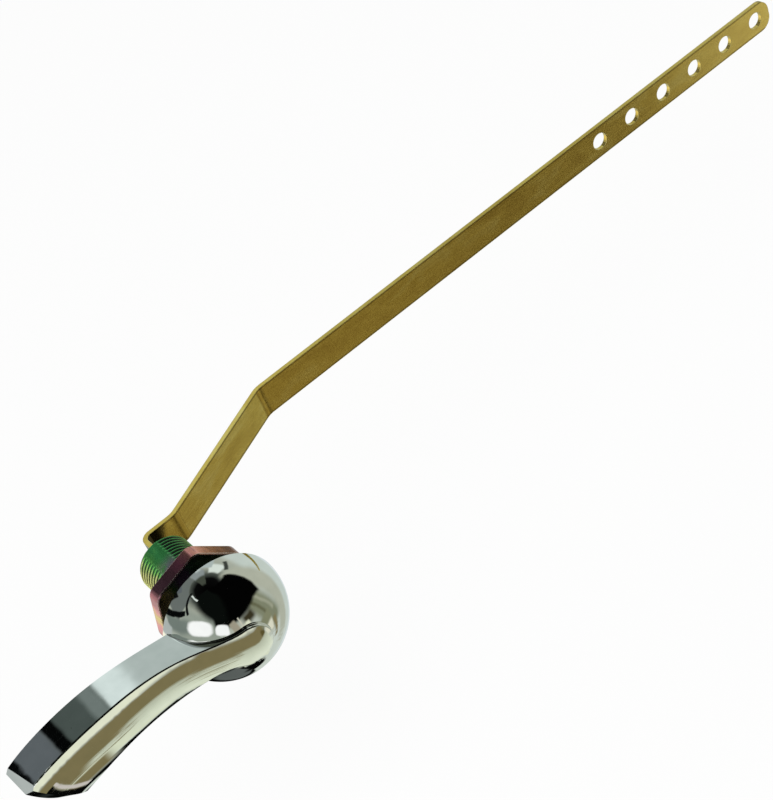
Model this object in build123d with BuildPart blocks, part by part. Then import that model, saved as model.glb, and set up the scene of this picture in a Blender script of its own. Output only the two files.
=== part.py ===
"""Front-mount cistern lever: cast handle, threaded shank, mounting nut and lift arm.

The origin is on the shank's axis, in the face that seats on the outside of the tank. +Y runs into the tank,
+Z is up and +X runs along the lift arm. All sizes are in millimetres.
"""
import math
import os

from build123d import *

os.makedirs("parts", exist_ok=True)

# Fits
running_clearance = 0.05   # radial, for the turning spindle and the nut on its thread
end_play = 0.2             # axial, at each end of the shank
press_clearance = 0.02     # each side of the tang in the spindle's slot
rim_gap = 0.6              # dome rim to the tank
lever_gap = 2.0            # back of the lever to the tank
flange_clearance = 0.6     # radial, flange to the dome's inside

# Threaded shank
thread_diameter = 12.5
flat_depth = 0.4
flat_turn = 13.5           # degrees from +Z towards -X to the middle of the upper flat
shank_length = 22.5
shank_end_chamfer = 0.5
flange_thickness = 2.4

# Dome and spindle
dome_radius = 13.7
dome_wall = 2.2
boss_diameter = 12.0
spindle_diameter = 7.0
tang_inset = 0.7           # spindle's surface to the tang's edge
tang_length = 10.0

# Turning stop inside the dome
swing = 50.0               # degrees, from rest to fully pressed
stop_angle = 14.0          # degrees that the lug spans
stop_slack = 0.5           # degrees left at each end of the swing
stop_depth = 1.6           # how far the lug reaches into the flange
stop_middle = -90.0        # degrees from +X towards +Z, middle of the swing

# Lever: heights of its edges above the axis and depth of its crown, at stations along -X
tongue_radius = 4.65       # rounded end on the dome's front
tongue_reach = 0.6
tongue_height = 0.75
tongue_lean = 20.0         # degrees that the rounded end runs on under the lever
tongue_proud = 0.7         # how far the crown stands in front of the dome
throat_reach = 5.0
throat_bottom = -2.1
throat_height = 1.2        # of the crown's middle
throat_depth = 11.35
neck_reach = 14.0
neck_top = 7.1
neck_bottom = -1.7
neck_depth = 9.2
crest_reach = 31.5
crest_top = 9.1
crest_bottom = -1.75
crest_depth = 9.9
tip_reach = 52.2
tip_top = 5.0
tip_depth = 9.7
heel_reach = 43.6
heel_bottom = -6.4
tip_slope = 26.0           # degrees that the edges fall at the tip
crown_radius = 14.0
blank_half_height = 9.6    # the blank stands past the outline above, below and at its ends
blank_margin = 1.0
blank_spans = 16           # spans between the sections of the blank
tip_bevel = 2.0            # along the front of the tip
tip_facet = 1.3            # along the top of the tip, at the back
tip_facet_tilt = 49.0      # degrees from level
tip_facet_turn = 7.0       # degrees towards the front
ridge_radius = 0.35        # rounds the front face's edges
root_radius = 0.3          # fills the corner between lever and dome

# Mounting nut
nut_across_flats = 20.4
nut_thickness = 3.6
nut_standoff = 6.0         # tank seat to the nut
nut_corner_radius = 2.6
nut_edge_chamfer = 0.25
nut_bore_chamfer = 0.6
nut_turn = 16.5            # degrees from +X towards +Z to the first corner

# Lift arm
strip_width = 8.0
strip_thickness = 1.1
arm_reach = 203.2
arm_standoff = 5.65        # end of the shank to the middle of the first run
leg_offset = 0.5           # middle of the leg from the axis, towards -X
root_run = 7.6
joggle_run = 33.9
joggle_depth = 15.9
root_bend = 1.9            # radii at the middle of the strip
joggle_bend = 5.0
end_radius = 3.2
hole_diameter = 4.2
hole_pitch = 10.6
hole_margin = 4.7          # last hole to the end of the arm
hole_count = 6

# Sizes that follow from those above
thread_radius = thread_diameter / 2
flat_height = thread_radius - flat_depth
bore_radius = spindle_diameter / 2 + running_clearance
hollow_radius = dome_radius - dome_wall
flange_radius = math.sqrt(hollow_radius**2 - flange_thickness**2) - flange_clearance
stop_inner = flange_radius - stop_depth
stop_span = swing + stop_angle + 2 * stop_slack
tang_width = spindle_diameter - 2 * tang_inset
tang_end = shank_length - tang_length
first_run_y = shank_length + arm_standoff
far_run_y = first_run_y + joggle_depth
far_run_x = root_run + joggle_run


def radial_plane(angle):
    """Plane through the shank's axis: local x is radial, at an angle from +X towards +Z, and local y is +Y."""
    turn = math.radians(angle)
    radial = (math.cos(turn), 0, math.sin(turn))
    return Plane(origin=(0, 0, 0), x_dir=radial, z_dir=(-radial[2], 0, radial[0]))


def front_plane(y):
    """Plane across the shank's axis: local x is +X, local y is +Z and extrusion runs towards -Y."""
    return Plane.XZ.offset(-y)


def lever_section(crown):
    """One section of the lever's blank at a point of the crown: flat back and arched front."""
    sag = crown_radius - math.sqrt(crown_radius**2 - blank_half_height**2)
    with BuildSketch(Plane.YZ.offset(crown.X)) as section:
        with BuildLine():
            Polyline(
                (crown.Y + sag, crown.Z - blank_half_height),
                (-lever_gap, crown.Z - blank_half_height),
                (-lever_gap, crown.Z + blank_half_height),
                (crown.Y + sag, crown.Z + blank_half_height),
            )
            ThreePointArc(
                (crown.Y + sag, crown.Z + blank_half_height),
                (crown.Y, crown.Z),
                (crown.Y + sag, crown.Z - blank_half_height),
            )
        make_face()
    return section.sketch


# Handle: dome, lever, boss and spindle in one casting
fall = (-math.cos(math.radians(tip_slope)), -math.sin(math.radians(tip_slope)))
tongue_front = dome_radius + tongue_proud
tongue_end = tongue_radius + blank_margin
tongue_wrap = math.asin(tongue_end / tongue_front)
with BuildLine() as crown_line:
    Spline(
        (tongue_end, -tongue_front * math.cos(tongue_wrap), tongue_height),
        (0, -tongue_front, tongue_height),
        (-throat_reach, -lever_gap - throat_depth, throat_height),
        (-neck_reach, -lever_gap - neck_depth, (neck_top + neck_bottom) / 2),
        (-crest_reach, -lever_gap - crest_depth, (crest_top + crest_bottom) / 2),
        (-tip_reach - blank_margin, -lever_gap - tip_depth, (tip_top + heel_bottom) / 2),
        tangents=[(-math.cos(tongue_wrap), -math.sin(tongue_wrap), 0), (fall[0], 0, fall[1])],
        tangent_scalars=[1, 1],
    )
blank = [lever_section(crown_line.line @ (place / blank_spans)) for place in range(blank_spans + 1)]
lean = (math.cos(math.radians(tongue_lean)), -math.sin(math.radians(tongue_lean)))
tongue_low = (lean[1] * tongue_radius - tongue_reach, tongue_height - lean[0] * tongue_radius)

facet_tilt = math.radians(tip_facet_tilt)
facet_turn = math.radians(tip_facet_turn)
facet_plane = Plane(
    origin=(-tip_reach + tip_facet, -lever_gap, tip_top + tip_facet * math.tan(math.radians(tip_slope))),
    z_dir=(
        -math.sin(facet_tilt) * math.cos(facet_turn),
        -math.sin(facet_tilt) * math.sin(facet_turn),
        math.cos(facet_tilt),
    ),
)

with BuildPart() as handle:
    # Crowned blank, cut to the lever's outline
    loft(blank)
    with BuildSketch(front_plane(-lever_gap)):
        with BuildLine():
            upper = Spline(
                (-tongue_reach, tongue_height + tongue_radius),
                (-neck_reach, neck_top),
                (-crest_reach, crest_top),
                (-tip_reach, tip_top),
                tangents=[(-1, 0), fall],
            )
            Line(upper @ 1, (-heel_reach, heel_bottom))
            lower = Spline(
                (-heel_reach, heel_bottom),
                (-crest_reach, crest_bottom),
                (-neck_reach, neck_bottom),
                (-throat_reach, throat_bottom),
                tongue_low,
                tangents=[(-fall[0], -fall[1]), lean],
            )
            ThreePointArc(lower @ 1, (tongue_radius - tongue_reach, tongue_height), upper @ 0)
        make_face()
    extrude(amount=tongue_front + blank_margin, mode=Mode.INTERSECT)
    chamfer(handle.faces().sort_by(Axis.X)[0].edges().sort_by(Axis.Y)[0], tip_bevel)
    split(bisect_by=facet_plane, keep=Keep.BOTTOM)
    front = handle.faces().filter_by(GeomType.BSPLINE).sort_by(SortBy.AREA)[-1]
    fillet(front.edges().sort_by(SortBy.LENGTH)[-1], ridge_radius)
    # Dome
    with BuildSketch(radial_plane(0)):
        with BuildLine():
            rim_radius = math.sqrt(dome_radius**2 - rim_gap**2)
            Polyline((0, -dome_radius), (0, -rim_gap), (rim_radius, -rim_gap))
            RadiusArc((rim_radius, -rim_gap), (0, -dome_radius), dome_radius)
        make_face()
    revolve(axis=Axis.Y)
    dome = handle.faces().filter_by(GeomType.SPHERE)[0]
    fillet(dome.edges().filter_by(GeomType.BSPLINE), root_radius)
    with BuildSketch(radial_plane(0)):
        with BuildLine():
            Polyline((hollow_radius, 0), (0, 0), (0, -hollow_radius))
            RadiusArc((hollow_radius, 0), (0, -hollow_radius), hollow_radius)
        make_face()
    revolve(axis=Axis.Y, mode=Mode.SUBTRACT)
    # Boss and slotted spindle
    boss_face = -flange_thickness - end_play
    with BuildSketch(front_plane(boss_face)):
        Circle(boss_diameter / 2)
    extrude(amount=hollow_radius + boss_face)
    with BuildSketch(front_plane(shank_length)):
        Circle(spindle_diameter / 2)
    extrude(amount=shank_length + hollow_radius)
    with BuildSketch(front_plane(shank_length)):
        with Locations((-leg_offset, 0)):
            Rectangle(strip_thickness + 2 * press_clearance, spindle_diameter)
    extrude(amount=tang_length + end_play, mode=Mode.SUBTRACT)
    # Lug that meets the ends of the flange's notch
    with BuildSketch(radial_plane(stop_middle - swing / 2 + stop_angle / 2)):
        with Locations((0, -rim_gap)):
            corner = (Align.MIN, Align.MAX)
            Rectangle(hollow_radius + dome_wall / 2, flange_thickness, align=corner)
            Rectangle(stop_inner + flange_clearance, flange_thickness, align=corner, mode=Mode.SUBTRACT)
    revolve(axis=Axis.Y, revolution_arc=stop_angle)
handle.part.label = "handle"
export_step(handle.part, "parts/handle.step")


# Threaded shank: flange on the tank, shank with two flats, bored for the spindle
with BuildPart() as threaded_shank:
    with BuildSketch(front_plane(0)):
        Circle(flange_radius)
    extrude(amount=flange_thickness)
    with BuildSketch(front_plane(shank_length)):
        Circle(thread_radius)
    extrude(amount=shank_length)
    chamfer(threaded_shank.faces().sort_by(Axis.Y)[-1].edges(), shank_end_chamfer)
    with BuildSketch(front_plane(shank_length)):
        Rectangle(thread_diameter, thread_diameter, rotation=flat_turn)
        Rectangle(thread_diameter, 2 * flat_height, rotation=flat_turn, mode=Mode.SUBTRACT)
    extrude(amount=shank_length, mode=Mode.SUBTRACT)
    with BuildSketch(front_plane(shank_length)):
        Circle(bore_radius)
    extrude(amount=shank_length + flange_thickness, mode=Mode.SUBTRACT)
    with BuildSketch(radial_plane(stop_middle + stop_span / 2)):
        with Locations((stop_inner, 0)):
            Rectangle(2 * stop_depth, flange_thickness, align=(Align.MIN, Align.MAX))
    revolve(axis=Axis.Y, revolution_arc=stop_span, mode=Mode.SUBTRACT)
threaded_shank.part.label = "threaded_shank"
export_step(threaded_shank.part, "parts/threaded_shank.step")


# Mounting nut: hexagon with rounded corners, run onto the shank
with BuildPart() as mounting_nut:
    with BuildSketch(front_plane(nut_standoff + nut_thickness)) as nut_outline:
        RegularPolygon(nut_across_flats / 2, 6, major_radius=False, rotation=nut_turn)
        fillet(nut_outline.vertices(), nut_corner_radius)
    extrude(amount=nut_thickness)
    chamfer(mounting_nut.faces().filter_by(Axis.Y).edges(), nut_edge_chamfer)
    with BuildSketch(front_plane(nut_standoff + nut_thickness)):
        Circle(thread_radius + running_clearance)
    extrude(amount=nut_thickness, mode=Mode.SUBTRACT)
    chamfer(mounting_nut.edges().filter_by(GeomType.CIRCLE).group_by(SortBy.RADIUS)[-1], nut_bore_chamfer)
mounting_nut.part.label = "mounting_nut"
export_step(mounting_nut.part, "parts/mounting_nut.step")


# Lift arm: one bent strip, its narrowed tang held in the spindle's slot
with BuildPart() as lift_arm:
    with BuildLine():
        FilletPolyline(
            (-leg_offset, tang_end),
            (-leg_offset, first_run_y),
            (root_run, first_run_y),
            (far_run_x, far_run_y),
            (arm_reach, far_run_y),
            radius=[root_bend, joggle_bend, joggle_bend],
        )
    with BuildSketch(front_plane(tang_end)):
        with Locations((-leg_offset, 0)):
            Rectangle(strip_thickness, strip_width)
    sweep()
    fillet(lift_arm.edges().filter_by(Axis.Y).group_by(Axis.X)[-1], end_radius)
    with BuildSketch(Plane.YZ.offset(-leg_offset)):
        with Locations((tang_end, 0)):
            Rectangle(tang_length + end_play, strip_width, align=(Align.MIN, Align.CENTER))
            Rectangle(tang_length + end_play, tang_width, align=(Align.MIN, Align.CENTER), mode=Mode.SUBTRACT)
    extrude(amount=strip_thickness, both=True, mode=Mode.SUBTRACT)
    with BuildSketch(front_plane(far_run_y + strip_thickness)):
        with Locations(*[(arm_reach - hole_margin - place * hole_pitch, 0) for place in range(hole_count)]):
            Circle(hole_diameter / 2)
    extrude(amount=2 * strip_thickness, mode=Mode.SUBTRACT)
lift_arm.part.label = "lift_arm"
export_step(lift_arm.part, "parts/lift_arm.step")
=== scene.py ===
"""Looks of the cistern lever: a chrome handle, a brass lift arm, a chromated shank and its nut."""

import math
from collections import namedtuple

import bmesh
import bpy
from mathutils import Matrix, Vector


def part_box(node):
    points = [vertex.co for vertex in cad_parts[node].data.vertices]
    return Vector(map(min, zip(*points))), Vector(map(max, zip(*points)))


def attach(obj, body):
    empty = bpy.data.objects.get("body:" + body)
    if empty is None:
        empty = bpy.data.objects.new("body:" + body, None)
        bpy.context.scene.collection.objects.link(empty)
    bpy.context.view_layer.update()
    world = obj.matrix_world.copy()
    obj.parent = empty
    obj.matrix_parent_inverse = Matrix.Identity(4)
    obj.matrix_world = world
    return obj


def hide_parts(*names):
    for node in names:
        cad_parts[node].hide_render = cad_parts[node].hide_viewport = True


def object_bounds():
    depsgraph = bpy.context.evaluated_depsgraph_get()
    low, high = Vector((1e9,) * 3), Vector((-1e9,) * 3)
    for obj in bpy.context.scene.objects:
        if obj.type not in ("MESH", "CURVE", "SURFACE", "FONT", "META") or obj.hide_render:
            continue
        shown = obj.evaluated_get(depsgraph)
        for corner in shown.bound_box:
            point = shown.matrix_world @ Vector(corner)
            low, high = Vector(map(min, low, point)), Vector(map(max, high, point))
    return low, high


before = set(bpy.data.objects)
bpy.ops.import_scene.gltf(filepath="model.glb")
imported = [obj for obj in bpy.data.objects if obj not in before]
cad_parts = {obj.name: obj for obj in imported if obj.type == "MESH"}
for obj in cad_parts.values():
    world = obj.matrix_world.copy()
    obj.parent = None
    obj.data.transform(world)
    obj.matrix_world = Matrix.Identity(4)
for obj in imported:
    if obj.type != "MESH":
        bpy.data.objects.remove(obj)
cad_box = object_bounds()

MM = 0.001

# Camera, in metres, in the part's own frame
camera_place = Vector((-0.057316, -0.271378, 0.265283))
camera_right = Vector((0.751013, -0.583194, -0.309619))
camera_up = Vector((0.596550, 0.398295, 0.696771))
camera_lens = 85.492
camera_sensor = 36.0

# Shank sizes in millimetres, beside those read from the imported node
thread_diameter = 12.5
thread_pitch = 1.0
thread_depth = 0.42
thread_steps = 10
flat_height = 5.85
flat_facing = 103.5        # degrees from +X towards +Z, square to the upper flat
flat_fade_from = 15.0      # degrees aside of it over which the thread fades in
flat_fade_to = 23.0
shank_bore = 7.1
end_chamfer = 0.5
flange_edge = 0.2
notch_inner = 9.05
notch_from = -122.5        # degrees from +X towards +Z
notch_to = -57.5
shank_columns = 144
sharp_angle = 40.0         # degrees between faces that shade as an edge
weld = 1e-6                # metres

# Finish sizes in millimetres. Pairs run from where a mark starts to where it is full
bare_within = 11.7         # of the origin: the dome's inside stays unplated, made darker as painted shade
cut_end = (0.12, 0.04)     # before the shank's end
blush_along = (18.0, 13.0)
blush_aside = (26.0, 12.0)  # degrees aside of the flat
nut_edge = 0.25
nut_face = 6.0
brass_edge = 0.22
strip_half = 4.0           # half the strip's width, which the next three are taken from
rim_from = (0.6, 0.4)
rim_shadow = (0.5, 0.35)
side_until = (0.02, 0.1)
holes_from = (138.0, 140.0)
end_painted_light = (160.0, 190.0)
bends = ((8.1, 1.2), (41.4, 1.1))  # middle and reach of the painted shade in the bends
bend_core = 0.35
spindle_shade_past = (5.4, 5.15)    # past the shank's end
spindle_shade_reach = (4.6, 2.4)

# Floor and lamp, in metres
floor_drop = 0.05
floor_size = 6.0
lamp_place = Vector((-0.5, -0.6, 1.4))
lamp_size = 1.2
lamp_power = 24.0

floor_glow = 0.93

# Card below the part, in millimetres: left, right, near and far edges
bench_edges = (-75.0, 45.0, -12.0, -95.0)
bench_level = -40.0
sheet_left = (-23.0, -14.0)
sheet_right = (14.0, 9.0)  # of x and half of y
sheet_far = (-68.0, -58.0)
sheet_near = (-22.0, -27.0)
sheet_ragged = (26.0, 20.0)
streak_patch = (-26.0, -48.0, 15.0, 11.0)  # middle and half sizes
olive_patch = (-39.0, -27.0, 13.0, 16.0)
tip_slant = 0.195
tip_offset = -37.36
tip_light = 1.8
tip_light_fade = (1.0, 0.4)
tip_dark_fade = (1.3, 0.5)

Card = namedtuple("Card", "azimuth elevation roll half_width half_height softness colour rounded",
                  defaults=(False,))

# What the chrome mirrors, in degrees: azimuth from +X towards +Y, elevation, and the card's own roll
cards = (
    # Pale room to the right
    Card(2, 0, 0, 16, 62, 6, "#b3b6a6"),
    Card(38, -15, 0, 22, 40, 7, "#c6d0c9"),
    Card(56, -25, 0, 8, 40, 5, "#d8e1e4"),
    # Khaki wall in streaks, and the dark beside it
    Card(-36, -9, 14, 17, 33, 7, "#82866f"),
    Card(-30, 0, 18, 2.5, 24, 2.5, "#a0a28d"),
    Card(-43, 2, 14, 2.5, 20, 2.5, "#67684f"),
    Card(-66, 8, 0, 11, 8, 5, "#3a3524"),
    # Grey room to the left
    Card(-150, 20, 0, 42, 28, 6, "#98a095"),
    Card(165, 17, 20, 26, 10, 5, "#76807a"),
    # Dark upper half
    Card(-74, 58, 0, 50, 42, 4, "#030303"),
    Card(-28, 49, -34, 30, 30, 3, "#030303"),
    Card(-130, 73, -30, 50, 30, 8, "#0a0d0b"),
    # Grey screen in its dark frame
    Card(130, 42, 0, 34, 18, 2, "#6b716e"),
    Card(160, 53, -33, 22, 2.5, 1, "#0a0b0c"),
    Card(154, 27, 36, 22, 4, 1, "#08090a"),
    Card(168, 66, 6, 16, 1.3, 0.7, "#dfe6e0"),
    # Window above
    Card(80, 58, 0, 16, 7, 3, "#8a9292"),
    Card(80, 71, 0, 17, 8, 3, "#454a40"),
    Card(40, 50, 0, 14, 9, 3, "#dfe7df"),
    Card(29, 39, -38, 11, 3, 1.5, "#3e423c"),
    # Bands over the lever's top
    Card(66, 40, 0, 17, 9, 1.5, "#b1bcb9"),
    Card(76.5, 43, 6, 6, 9, 3, "#d9e5e3"),
    Card(92, 44, 0, 9.6, 8, 1.2, "#4a5350"),
    Card(85.5, 44, 0, 3, 8, 1.5, "#727c79"),
    Card(103, 42, 4, 3.2, 9, 1.0, "#050606"),
    Card(117, 37, 0, 11, 9, 1.0, "#5e6468"),
    Card(127, 34, 8, 6.5, 6, 0.8, "#070809"),
    # Bench in front, in bands, and the light wall behind the arm
    Card(-97, -4, 0, 27, 10, 2, "#e8ead2"),
    Card(-83, -64, 0, 45, 11, 3, "#dde2c8"),
    Card(-117, -36, 0, 63, 21, 2.5, "#7d7350"),
    Card(-58, -36, 0, 6, 10, 3, "#5c522e"),
    Card(-45, -20, 0, 12, 7, 3, "#85876c"),
    Card(-42.5, -35, 0, 7.5, 8, 3, "#e2e0cc"),
    Card(-28, -42, 10, 4, 12, 3, "#857a58"),
    Card(131, -15, 0, 12, 22, 4, "#fffbe6"),
    Card(147, -2, 0, 9, 9, 2, "#b4bab8"),
    # Dark floor below
    Card(-90, -84, 0, 60, 8.5, 1.5, "#040404"),
    Card(0, -90, 0, 181, 10, 1.5, "#040404"),
    Card(98, -70, 0, 19, 20, 3, "#050505"),
    Card(157, -74, 0, 78, 16, 2, "#060606"),
    Card(157, -75, 0, 68, 10, 3, "#5c615f"),
    # Softboxes and small lights
    Card(-153, 25, 0, 23, 12, 2, "#ffffff", True),
    Card(-115, 17, -20, 11, 9, 1.5, "#ffffff", True),
    Card(-94, 11, 10, 6, 10, 2, "#a39c8a"),
    Card(-82, 12, 0, 1.2, 9, 0.8, "#c9c6b6"),
)
sky = ((-90, "#c9d0c4"), (-60, "#ccd4cc"), (-20, "#c2cac2"), (10, "#b6bbae"), (50, "#a4a99c"),
       (62, "#4a4f49"), (70, "#0a0a0a"), (90, "#020202"))
room_warp = 0.07
room_warp_scale = 4.0
streak_height = 45.0       # degrees that the bench's grain shifts its bands
streak_from = -40.0
streak_full = -54.0
streak_end = -66.0         # cards below this stay straight
grain_across = 0.02        # grain per degree
grain_along = 0.3


def linear(code):
    """Scene colour of a hex screen colour."""
    parts = [int(code[i:i + 2], 16) / 255 for i in (1, 3, 5)]
    return tuple(p / 12.92 if p <= 0.04045 else ((p + 0.055) / 1.055) ** 2.4 for p in parts) + (1.0,)


class Graph:
    """Short calls for the nodes of one shader tree."""

    def __init__(self, tree):
        self.tree = tree
        tree.nodes.clear()

    def add(self, kind, **settings):
        node = self.tree.nodes.new(kind)
        for name, value in settings.items():
            setattr(node, name, value)
        return node

    def put(self, value, socket):
        """Links an output to a socket, or sets a plain value on it."""
        if isinstance(value, bpy.types.NodeSocket):
            self.tree.links.new(value, socket)
        else:
            socket.default_value = value

    def math(self, operation, *values):
        node = self.add("ShaderNodeMath", operation=operation)
        for value, socket in zip(values, node.inputs):
            self.put(value, socket)
        return node.outputs[0]

    def vector_math(self, operation, *values):
        node = self.add("ShaderNodeVectorMath", operation=operation)
        for value, socket in zip(values, node.inputs):
            self.put(value, socket)
        return node.outputs["Value"] if operation in ("DOT_PRODUCT", "LENGTH") else node.outputs["Vector"]

    def step(self, value, low, high):
        """0 at low, 1 at high, smooth between them. Low may be above high."""
        node = self.add("ShaderNodeMapRange", interpolation_type="SMOOTHSTEP")
        rising = low < high
        self.put(value, node.inputs["Value"])
        node.inputs["From Min"].default_value = min(low, high)
        node.inputs["From Max"].default_value = max(low, high)
        node.inputs["To Min"].default_value = 0.0 if rising else 1.0
        node.inputs["To Max"].default_value = 1.0 if rising else 0.0
        return node.outputs[0]

    def range(self, value, low, high, to_low, to_high):
        node = self.add("ShaderNodeMapRange")
        for one, name in zip((value, low, high, to_low, to_high),
                             ("Value", "From Min", "From Max", "To Min", "To Max")):
            self.put(one, node.inputs[name])
        return node.outputs[0]

    def mix(self, factor, first, second, blend="MIX"):
        node = self.add("ShaderNodeMix", data_type="RGBA", blend_type=blend)
        self.put(factor, node.inputs[0])
        self.put(first, node.inputs[6])
        self.put(second, node.inputs[7])
        return node.outputs[2]

    def ramp(self, factor, stops):
        node = self.add("ShaderNodeValToRGB")
        elements = node.color_ramp.elements
        for _ in range(len(stops) - 2):
            elements.new(0.5)
        for element, (place, code) in zip(elements, stops):
            element.position = place
            element.color = linear(code)
        self.put(factor, node.inputs[0])
        return node.outputs[0]

    def noise(self, vector, scale, detail=3.0, roughness=0.5, distortion=0.0):
        node = self.add("ShaderNodeTexNoise")
        self.put(vector, node.inputs["Vector"])
        for name, value in (("Scale", scale), ("Detail", detail),
                            ("Roughness", roughness), ("Distortion", distortion)):
            node.inputs[name].default_value = value
        return node.outputs[0]

    def noise_colour(self, vector, scale, detail=3.0):
        node = self.add("ShaderNodeTexNoise")
        self.put(vector, node.inputs["Vector"])
        node.inputs["Scale"].default_value = scale
        node.inputs["Detail"].default_value = detail
        return node.outputs["Color"]

    def stretched(self, vector, x, y, z):
        return self.vector_math("MULTIPLY", vector, (x, y, z))

    def product(self, *values):
        result = values[0]
        for value in values[1:]:
            result = self.math("MULTIPLY", result, value)
        return result

    def largest(self, *values):
        result = values[0]
        for value in values[1:]:
            result = self.math("MAXIMUM", result, value)
        return result

    def off(self, value, middle):
        """Distance of a value from its middle."""
        return self.math("ABSOLUTE", self.math("SUBTRACT", value, middle))

    def apart(self, vector):
        """The three parts of a vector."""
        node = self.add("ShaderNodeSeparateXYZ")
        self.put(vector, node.inputs[0])
        return node.outputs

    def rounded(self, radius):
        """The surface's normal, with its edges rounded."""
        node = self.add("ShaderNodeBevel", samples=4)
        node.inputs["Radius"].default_value = radius
        return node.outputs[0]

    def edges(self, rounded):
        """1 where the rounded normal leaves the surface's own."""
        own = self.add("ShaderNodeNewGeometry").outputs["Normal"]
        return self.step(self.vector_math("DOT_PRODUCT", rounded, own), 0.995, 0.93)

    def bump(self, height, strength, distance, normal=None):
        node = self.add("ShaderNodeBump")
        if normal is not None:
            self.put(normal, node.inputs["Normal"])
        node.inputs["Strength"].default_value = strength
        node.inputs["Distance"].default_value = distance
        self.put(height, node.inputs["Height"])
        return node.outputs[0]

    def metal(self, colour, roughness, normal=None, **settings):
        """A metal surface joined to the material's output."""
        shader = self.add("ShaderNodeBsdfPrincipled")
        shader.inputs["Metallic"].default_value = 1.0
        self.put(colour, shader.inputs["Base Color"])
        self.put(roughness, shader.inputs["Roughness"])
        for name, value in settings.items():
            shader.inputs[name.replace("_", " ").title()].default_value = value
        if normal is not None:
            self.put(normal, shader.inputs["Normal"])
        output = self.add("ShaderNodeOutputMaterial")
        self.put(shader.outputs[0], output.inputs[0])


def new_material(name):
    material = bpy.data.materials.new(name)
    material.use_nodes = True
    return material, Graph(material.node_tree)


def place_in_mm(graph):
    """The surface point in the part's frame, in millimetres."""
    coordinates = graph.add("ShaderNodeTexCoord")
    return graph.vector_math("MULTIPLY", coordinates.outputs["Object"], (1 / MM, 1 / MM, 1 / MM))


def turn_about_axis(graph, point):
    """Angle about the shank's axis in degrees, from +X towards +Z, and the distance along it."""
    x, y, z = graph.apart(point)
    angle = graph.math("DEGREES", graph.math("ARCTAN2", z, x))
    return graph.math("WRAP", angle, 360.0, 0.0), y


def chrome_material():
    material, graph = new_material("bright_chrome")
    point = place_in_mm(graph)
    cloud = graph.noise(point, 0.35, 2.0)
    plated = graph.ramp(cloud, ((0.3, "#eef1ef"), (0.7, "#f7f9f7")))
    haze = graph.noise(graph.stretched(point, 0.25, 1.0, 1.0), 1.4, 4.0, 0.6)
    polish = graph.range(haze, 0.35, 0.8, 0.02, 0.07)
    ripple = graph.noise(point, 0.22, 1.0)
    peel = graph.noise(point, 2.4, 2.0)
    pits = graph.step(graph.noise(point, 1.1, 1.0), 0.8, 0.88)
    # Bare casting inside the dome and along the spindle, made darker as painted shade
    inside = graph.step(graph.vector_math("LENGTH", point), bare_within + 0.3, bare_within)
    bare_casting_and_shade = graph.largest(inside, graph.step(graph.apart(point)[1], -0.4, 0.0))
    grain = graph.noise(point, 3.0, 4.0, 0.7)
    cast = graph.ramp(grain, ((0.3, "#35342f"), (0.7, "#55534c")))
    colour = graph.mix(bare_casting_and_shade, graph.mix(pits, plated, linear("#b4b7b4")), cast)
    roughness = graph.range(bare_casting_and_shade, 0.0, 1.0, polish, 0.5)
    height = graph.math("MULTIPLY_ADD", peel, 0.02, ripple)
    height = graph.math("SUBTRACT", height, graph.math("MULTIPLY", pits, 0.1))
    height = graph.math("MULTIPLY_ADD", graph.math("MULTIPLY", bare_casting_and_shade, grain), 3.0, height)
    graph.metal(colour, roughness, graph.bump(height, 0.25, 0.05 * MM))
    return material


def brass_material():
    material, graph = new_material("rolled_brass")
    point = place_in_mm(graph)
    patches = graph.noise(graph.stretched(point, 0.09, 0.09, 0.22), 1.0, 4.0, 0.6, 0.5)
    base = graph.ramp(patches, ((0.3, "#d6b85a"), (0.5, "#e8cc68"), (0.7, "#f0da80")))
    streaks = graph.noise(graph.stretched(point, 0.05, 0.05, 3.0), 1.0, 5.0, 0.7)
    shade = graph.ramp(streaks, ((0.3, "#cfc5ae"), (0.7, "#ffffff")))
    colour = graph.mix(0.3, base, shade, "MULTIPLY")
    grain = graph.noise(point, 0.7, 3.0, 0.6)
    spots = graph.step(grain, 0.6, 0.74)
    colour = graph.mix(graph.product(spots, 0.2), colour, linear("#a88c50"))
    rounded = graph.rounded(brass_edge * MM)
    x, y, z = graph.apart(point)
    depth = graph.math("SUBTRACT", strip_half, graph.math("ABSOLUTE", z))
    # Painted highlight with some wear along the long edges and round the strip's end
    rim = graph.largest(graph.step(depth, *rim_from), graph.step(x, *holes_from))
    edge_wear_and_highlight = graph.product(graph.edges(rounded), rim)
    colour = graph.mix(edge_wear_and_highlight, colour, linear("#f6e9a6"))
    # Painted light towards the end, and painted shade in the bends, under the rim and beside the spindle
    colour = graph.mix(graph.product(graph.step(x, *end_painted_light), 0.5), colour, linear("#f6dc80"))
    # Painted shade in the bends
    bent = graph.largest(*(graph.step(graph.off(x, middle), reach, bend_core) for middle, reach in bends))
    side = graph.step(depth, *side_until)
    colour = graph.mix(graph.product(bent, side), colour, linear("#b4ac8e"), "MULTIPLY")
    shadow = graph.product(graph.step(depth, *rim_shadow), side, 0.7)
    colour = graph.mix(shadow, colour, linear("#9c947a"), "MULTIPLY")
    # Painted shade beside the spindle, by the shank's end
    _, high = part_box("threaded_shank")
    inner = graph.step(y, *(high.y / MM + past for past in spindle_shade_past))
    spindle_shade = graph.product(inner, side, graph.step(x, *spindle_shade_reach), 0.93)
    colour = graph.mix(spindle_shade, colour, linear("#14120a"))
    roughness = graph.range(edge_wear_and_highlight, 0.0, 1.0, graph.range(streaks, 0.3, 0.7, 0.13, 0.2), 0.12)
    height = graph.math("MULTIPLY_ADD", grain, 0.2, streaks)
    normal = graph.bump(height, 0.05, 0.03 * MM, rounded)
    graph.metal(colour, roughness, normal, metallic=0.88, anisotropic=0.35)
    return material


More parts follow.
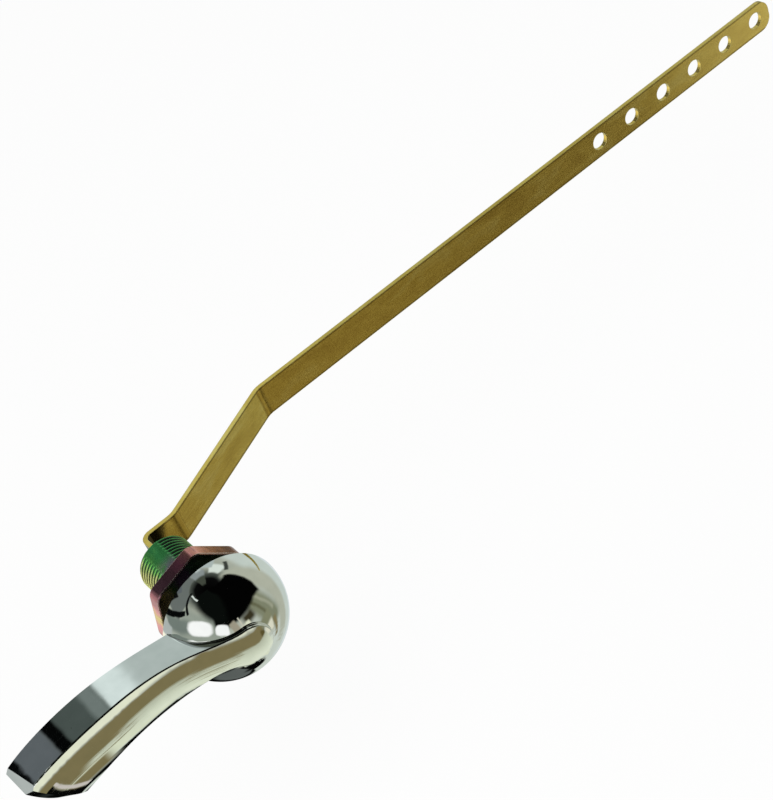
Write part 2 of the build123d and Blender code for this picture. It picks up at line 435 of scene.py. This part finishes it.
def shank_material():
    material, graph = new_material("chromate_green")
    point = place_in_mm(graph)
    angle, along = turn_about_axis(graph, point)
    cloud = graph.noise(point, 0.35, 4.0, 0.6, 0.6)
    turn = graph.math("ADD", angle, graph.range(cloud, 0.2, 0.8, -14.0, 14.0))
    # Chromate tints around the shank, with a painted highlight on the crests of the left side
    crest_tints_and_highlight = graph.ramp(graph.math("DIVIDE", graph.math("WRAP", turn, 360.0, 0.0), 360.0), (
        (0.00, "#8fae5c"), (0.12, "#5f9a5a"), (0.22, "#4fae62"), (0.29, "#58c070"), (0.355, "#7ccf62"),
        (0.42, "#ffffae"), (0.54, "#fdffa6"), (0.66, "#6fb862"), (0.78, "#b98aa0"),
        (0.88, "#d9c868"), (1.00, "#8fae5c")))
    root_tints_in_shade = graph.ramp(graph.math("DIVIDE", angle, 360.0), (
        (0.00, "#3a2a3c"), (0.24, "#3c2a3e"), (0.31, "#2c6a40"), (0.42, "#12301a"), (0.60, "#152c1a"),
        (1.00, "#3a2a3c")))
    # Painted shade in the grooves, darker than the crests, apart from the flats
    across = graph.vector_math("LENGTH", graph.stretched(point, 1.0, 0.0, 1.0))
    facing = graph.math("SUBTRACT", angle, flat_facing)
    aside = graph.math("ABSOLUTE", graph.math("WRAP", facing, 90.0, -90.0))
    groove_shade = graph.step(across, thread_diameter / 2 - 0.05, thread_diameter / 2 - 0.6 * thread_depth)
    groove_shade = graph.product(groove_shade, graph.step(aside, flat_fade_from, flat_fade_to))
    colour = graph.mix(groove_shade, crest_tints_and_highlight, root_tints_in_shade)
    # A plum blush on the flat beside the nut
    blush = graph.noise(graph.stretched(point, 0.5, 0.8, 0.5), 0.9, 3.0, 0.6, 0.8)
    near_nut = graph.product(graph.step(along, *blush_along), graph.step(aside, *blush_aside))
    near_nut = graph.product(near_nut, graph.step(blush, 0.34, 0.5), 0.9)
    colour = graph.mix(near_nut, colour, linear("#a888b0"))
    # Bare cut end, made darker as painted shade
    _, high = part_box("threaded_shank")
    cut_bare_and_shade = graph.step(along, *(high.y / MM - before for before in cut_end))
    colour = graph.mix(cut_bare_and_shade, colour, linear("#2c2c27"))
    roughness = graph.range(cut_bare_and_shade, 0.0, 1.0, graph.range(cloud, 0.3, 0.7, 0.16, 0.3), 0.5)
    grain = graph.noise(point, 5.0, 3.0)
    graph.metal(colour, roughness, graph.bump(grain, 0.15, 0.03 * MM), metallic=0.8)
    return material


def nut_material():
    material, graph = new_material("chromate_plum")
    point = place_in_mm(graph)
    angle, along = turn_about_axis(graph, point)
    cloud = graph.noise(point, 0.3, 4.0, 0.6, 0.5)
    turn = graph.math("ADD", angle, graph.range(cloud, 0.2, 0.8, -12.0, 12.0))
    # Chromate tints around the nut, with a painted highlight on the corner near 76 degrees
    colour = graph.ramp(graph.math("DIVIDE", graph.math("WRAP", turn, 360.0, 0.0), 360.0), (
        (0.00, "#c08a62"), (0.07, "#8a5f4c"), (0.15, "#b8806a"), (0.21, "#f0a898"), (0.25, "#b86a80"),
        (0.30, "#8a5a68"), (0.36, "#8f6270"), (0.41, "#c07a8c"), (0.435, "#f0a4ac"), (0.465, "#ecdc8a"),
        (0.50, "#f09cb0"), (0.66, "#8fb070"), (0.80, "#c49a6a"), (1.00, "#c08a62")))
    smears = graph.noise(graph.stretched(point, 1.0, 0.3, 1.0), 0.9, 3.0, 0.6, 0.4)
    colour = graph.mix(graph.product(graph.step(smears, 0.5, 0.7), 0.5), colour, linear("#6a4a4e"))
    # Painted shade on the face towards the tank
    face = graph.step(along, nut_face + 0.08, nut_face + 0.02)
    face_shade_colour = graph.ramp(cloud, ((0.35, "#362e34"), (0.65, "#524650")))
    colour = graph.mix(face, colour, face_shade_colour)
    # Painted highlight with some rubbed wear along the edges
    rounded = graph.rounded(nut_edge * MM)
    edge_wear_and_highlight = graph.product(graph.edges(rounded), graph.math("SUBTRACT", 1.0, face))
    colour = graph.mix(edge_wear_and_highlight, colour, linear("#fff0ea"))
    roughness = graph.range(cloud, 0.3, 0.7, 0.18, 0.3)
    grain = graph.noise(point, 4.0, 3.0)
    graph.metal(colour, roughness, graph.bump(grain, 0.12, 0.03 * MM, rounded))
    return material


def thread_radius(angle, y, length):
    """Outer radius of the shank in millimetres: a left-hand thread with two flats and an end chamfer."""
    crest = thread_diameter / 2
    rise = abs(math.cos(angle - math.radians(flat_facing)))
    aside = math.degrees(math.acos(min(rise, 1.0)))
    fade = min(max((aside - flat_fade_from) / (flat_fade_to - flat_fade_from), 0.0), 1.0)
    wave = 0.5 + 0.5 * math.cos(2 * math.pi * (y / thread_pitch + angle / (2 * math.pi)))
    radius = crest - thread_depth * fade * (1 - wave ** 0.8)
    radius = min(radius, crest - end_chamfer + (length - y))
    if rise * radius > flat_height:
        radius = flat_height / rise
    return radius


def threaded_shank():
    low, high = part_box("threaded_shank")
    length = high.y / MM
    flange_bottom = low.y / MM
    flange_radius = high.x / MM
    bore = shank_bore / 2
    first, last = math.radians(notch_from), math.radians(notch_to)
    turns = [2 * math.pi * i / shank_columns - math.pi for i in range(shank_columns)]
    plain = [t for t in turns if t < first or t > last]
    columns = [(t, False) for t in plain] + [(t, True) for t in turns if first < t < last]
    columns += [(first, False), (first, True), (last, True), (last, False)]
    columns.sort(key=lambda c: (c[0], c[1] if c[0] < (first + last) / 2 else not c[1]))

    def flange_edge_radius(in_notch, inset):
        return (notch_inner if in_notch else flange_radius) - inset

    rings = [[(bore, flange_bottom, t) for t, _ in columns],
             [(flange_edge_radius(n, flange_edge), flange_bottom, t) for t, n in columns],
             [(flange_edge_radius(n, 0), flange_bottom + flange_edge, t) for t, n in columns],
             [(flange_edge_radius(n, 0), -flange_edge, t) for t, n in columns],
             [(flange_edge_radius(n, flange_edge), 0, t) for t, n in columns]]
    pitch_step = thread_pitch / thread_steps
    count = math.ceil(length / pitch_step) + 2 * thread_steps
    for j in range(count):
        ring = []
        for t, _ in columns:
            y = (j - thread_steps) * pitch_step - thread_pitch * t / (2 * math.pi)
            y = min(max(y, 0), length)
            ring.append((thread_radius(t, y, length), y, t))
        rings.append(ring)
    rings.append([(bore, length, t) for t, _ in columns])

    mesh = bmesh.new()
    rows = []
    for ring in rings:
        places = [Vector((r * math.cos(t), y, r * math.sin(t))) * MM for r, y, t in ring]
        rows.append([mesh.verts.new(place) for place in places])
    rows.append(rows[0])
    for lower, upper in zip(rows, rows[1:]):
        for i in range(len(columns)):
            k = (i + 1) % len(columns)
            mesh.faces.new((lower[i], upper[i], upper[k], lower[k]))
    bmesh.ops.remove_doubles(mesh, verts=mesh.verts, dist=weld)
    bmesh.ops.dissolve_degenerate(mesh, edges=mesh.edges, dist=weld)
    bmesh.ops.recalc_face_normals(mesh, faces=mesh.faces)
    data = bpy.data.meshes.new("shank_thread")
    mesh.to_mesh(data)
    mesh.free()
    data.shade_smooth()
    data.set_sharp_from_angle(angle=math.radians(sharp_angle))
    piece = bpy.data.objects.new("shank_thread", data)
    bpy.context.scene.collection.objects.link(piece)
    data.materials.append(shank_material())
    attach(piece, "shank")
    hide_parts("threaded_shank")


def dress(node, material):
    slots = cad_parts[node].data.materials
    slots.clear()
    slots.append(material)


def studio_world():
    """White to the camera, and to everything else a room of cards around the part."""
    world = bpy.data.worlds.new("studio")
    world.use_nodes = True
    bpy.context.scene.world = world
    world.cycles.sampling_method = "NONE"
    graph = Graph(world.node_tree)
    straight = graph.add("ShaderNodeTexCoord").outputs["Generated"]
    wobble = graph.noise_colour(straight, room_warp_scale, 2.0)
    wobble = graph.vector_math("SUBTRACT", wobble, (0.5, 0.5, 0.5))
    bent = graph.vector_math("ADD", straight, graph.stretched(wobble, room_warp, room_warp, room_warp))
    x, y, z = graph.apart(graph.vector_math("NORMALIZE", bent))
    azimuth = graph.math("DEGREES", graph.math("ARCTAN2", y, x))
    level = graph.math("DEGREES", graph.math("ARCSINE", z))
    # Grain of the bench, drawn out sideways
    grain = graph.add("ShaderNodeCombineXYZ")
    graph.put(graph.product(azimuth, grain_across), grain.inputs[0])
    graph.put(graph.product(level, grain_along), grain.inputs[1])
    streaks = graph.math("SUBTRACT", graph.noise(grain.outputs[0], 1.0, 3.0, 0.6), 0.5)
    streaks = graph.product(streaks, graph.step(level, streak_from, streak_full))
    elevation = graph.math("MULTIPLY_ADD", streaks, streak_height, level)

    def card_mask(card):
        turn = math.radians(card.roll)
        side = graph.math("WRAP", graph.math("SUBTRACT", azimuth, card.azimuth), 180.0, -180.0)
        rise = graph.math("SUBTRACT", level if card.elevation < streak_end else elevation, card.elevation)
        across = graph.math("MULTIPLY_ADD", side, math.cos(turn), graph.product(rise, math.sin(turn)))
        along = graph.math("MULTIPLY_ADD", rise, math.cos(turn), graph.product(side, -math.sin(turn)))
        across = graph.math("ABSOLUTE", across)
        along = graph.math("ABSOLUTE", along)
        if card.rounded:
            out = graph.math("ADD", graph.math("POWER", graph.math("DIVIDE", across, card.half_width), 3.0),
                             graph.math("POWER", graph.math("DIVIDE", along, card.half_height), 3.0))
            blur = 3 * card.softness / card.half_height
            return graph.step(out, 1 + blur, 1 - blur)
        wide = graph.step(across, card.half_width + card.softness, card.half_width - card.softness)
        tall = graph.step(along, card.half_height + card.softness, card.half_height - card.softness)
        return graph.product(wide, tall)

    colour = graph.ramp(graph.range(elevation, -90.0, 90.0, 0.0, 1.0),
                        [((height + 90) / 180, code) for height, code in sky])
    for card in cards:
        colour = graph.mix(card_mask(card), colour, linear(card.colour))

    seen = graph.add("ShaderNodeLightPath").outputs["Is Camera Ray"]
    background = graph.add("ShaderNodeBackground")
    graph.put(graph.mix(seen, colour, (1.0, 1.0, 1.0, 1.0)), background.inputs["Color"])
    output = graph.add("ShaderNodeOutputWorld")
    graph.put(background.outputs[0], output.inputs[0])


def floor_material():
    material, graph = new_material("pale_floor")
    paper = graph.noise(place_in_mm(graph), 0.02, 3.0)
    diffuse = graph.add("ShaderNodeBsdfDiffuse")
    graph.put(graph.ramp(paper, ((0.3, "#f6f6f6"), (0.7, "#fafafa"))), diffuse.inputs["Color"])
    glow = graph.add("ShaderNodeEmission")
    glow.inputs["Strength"].default_value = 1.0
    blend = graph.add("ShaderNodeMixShader")
    seen = graph.add("ShaderNodeLightPath").outputs["Is Camera Ray"]
    graph.put(graph.product(seen, floor_glow), blend.inputs[0])
    graph.put(diffuse.outputs[0], blend.inputs[1])
    graph.put(glow.outputs[0], blend.inputs[2])
    output = graph.add("ShaderNodeOutputMaterial")
    graph.put(blend.outputs[0], output.inputs[0])
    return material


def studio_floor():
    low, _ = cad_box
    half = floor_size / 2
    data = bpy.data.meshes.new("floor")
    level = low[2] - floor_drop
    data.from_pydata([(-half, -half, level), (half, -half, level), (half, half, level), (-half, half, level)],
                     [], [(0, 1, 2, 3)])
    data.materials.append(floor_material())
    floor = bpy.data.objects.new("floor", data)
    bpy.context.scene.collection.objects.link(floor)
    floor.visible_glossy = False


def bench_material():
    """A pale sheet to the right, then a pale streak, an olive patch and a dark end, clear between them."""
    material, graph = new_material("bench")
    point = place_in_mm(graph)
    x, y, _ = graph.apart(point)
    ragged = graph.noise(graph.stretched(point, 0.05, 0.4, 1.0), 1.0, 4.0, 0.65)
    shift = graph.math("SUBTRACT", ragged, 0.5)
    torn_x, torn_y = (graph.math("MULTIPLY_ADD", shift, tear, place)
                      for tear, place in zip(sheet_ragged, (x, y)))
    slanted = graph.math("MULTIPLY_ADD", y, 0.5, x)
    sheet = graph.product(graph.step(torn_x, *sheet_left), graph.step(torn_y, *sheet_far),
                          graph.step(y, *sheet_near), graph.step(slanted, *sheet_right))

    def patch(middle_x, middle_y, half_x, half_y):
        wide = graph.step(graph.off(x, middle_x), half_x, 0.5 * half_x)
        deep = graph.step(graph.off(y, middle_y), half_y, 0.5 * half_y)
        return graph.product(wide, deep)

    streak = graph.product(patch(*streak_patch), graph.step(ragged, 0.38, 0.52))
    olive = patch(*olive_patch)
    # Light line and dark end, mirrored where the tip's face rolls off
    past_tip = graph.math("SUBTRACT", x, graph.math("MULTIPLY_ADD", y, tip_slant, tip_offset))
    line = graph.step(graph.off(past_tip, tip_light), *tip_light_fade)
    dark = graph.step(past_tip, *tip_dark_fade)
    colour = graph.ramp(graph.range(y, -70.0, -15.0, 0.0, 1.0),
                        ((0.0, "#aeb29c"), (0.3, "#c0c5b0"), (0.6, "#d6dcc6"), (1.0, "#ecf1de")))
    colour = graph.mix(olive, colour, linear("#7d7350"))
    colour = graph.mix(line, colour, linear("#cbc4bd"))
    colour = graph.mix(dark, colour, linear("#060606"))
    covered = graph.largest(sheet, streak, olive, line, dark)
    glow = graph.add("ShaderNodeEmission")
    graph.put(colour, glow.inputs["Color"])
    clear = graph.add("ShaderNodeBsdfTransparent")
    blend = graph.add("ShaderNodeMixShader")
    graph.put(covered, blend.inputs[0])
    graph.put(clear.outputs[0], blend.inputs[1])
    graph.put(glow.outputs[0], blend.inputs[2])
    output = graph.add("ShaderNodeOutputMaterial")
    graph.put(blend.outputs[0], output.inputs[0])
    return material


def bench_card():
    """Lies below the part, where only mirrored rays meet it."""
    left, right, near, far = (edge * MM for edge in bench_edges)
    level = bench_level * MM
    data = bpy.data.meshes.new("bench")
    data.from_pydata([(left, far, level), (right, far, level), (right, near, level), (left, near, level)],
                     [], [(0, 1, 2, 3)])
    data.materials.append(bench_material())
    bench = bpy.data.objects.new("bench", data)
    bpy.context.scene.collection.objects.link(bench)
    bench.visible_camera = False
    bench.visible_diffuse = False
    bench.visible_shadow = False


def studio_lamp():
    lamp = bpy.data.lights.new("softbox", "AREA")
    lamp.size = lamp_size
    lamp.energy = lamp_power
    holder = bpy.data.objects.new("softbox", lamp)
    holder.location = lamp_place
    holder.rotation_euler = lamp_place.to_track_quat("Z", "Y").to_euler()
    holder.visible_glossy = False
    bpy.context.scene.collection.objects.link(holder)


def photo_camera():
    back = camera_right.cross(camera_up).normalized()
    turn = Matrix((camera_right, camera_up, back)).transposed()
    data = bpy.data.cameras.new("camera")
    data.lens = camera_lens
    data.sensor_width = camera_sensor
    data.clip_start = 0.01
    data.clip_end = 20.0
    camera = bpy.data.objects.new("camera", data)
    camera.matrix_world = Matrix.Translation(camera_place) @ turn.to_4x4()
    bpy.context.scene.collection.objects.link(camera)
    bpy.context.scene.camera = camera


bpy.context.scene.view_settings.view_transform = "Standard"
dress("handle", chrome_material())
dress("lift_arm", brass_material())
dress("mounting_nut", nut_material())
threaded_shank()
studio_world()
studio_floor()
bench_card()
studio_lamp()
photo_camera()
